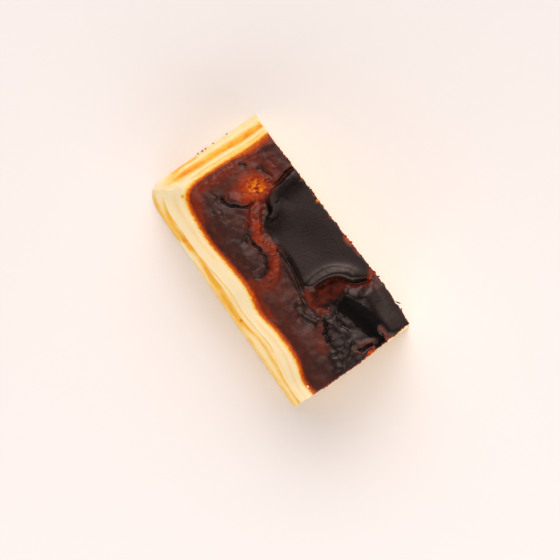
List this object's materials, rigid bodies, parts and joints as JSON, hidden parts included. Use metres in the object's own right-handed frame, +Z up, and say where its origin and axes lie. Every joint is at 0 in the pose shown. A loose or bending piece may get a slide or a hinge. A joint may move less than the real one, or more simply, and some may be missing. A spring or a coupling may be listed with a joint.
{
  "type": "basque cheesecake slice",
  "caption": "Rectangular corner slice of burnt-top cheesecake: dark wrinkled crust, two flared baked sides, two straight cut faces, flat base.",
  "frame": {"origin": "under the middle of the base, on the surface that the slice rests on", "axes": "+X along the slice towards its short cut face, +Y towards its long cut face, +Z up out of the crust"},
  "size_m": [0.121, 0.0643, 0.0457],
  "materials": {
    "cheesecake": "soft set custard, cream to pale yellow, under a satin burnt crust that runs from near-black through red-brown to a thin amber edge"
  },
  "bodies": {
    "root": {"cheesecake": "cheesecake"}
  },
  "joints": []
}
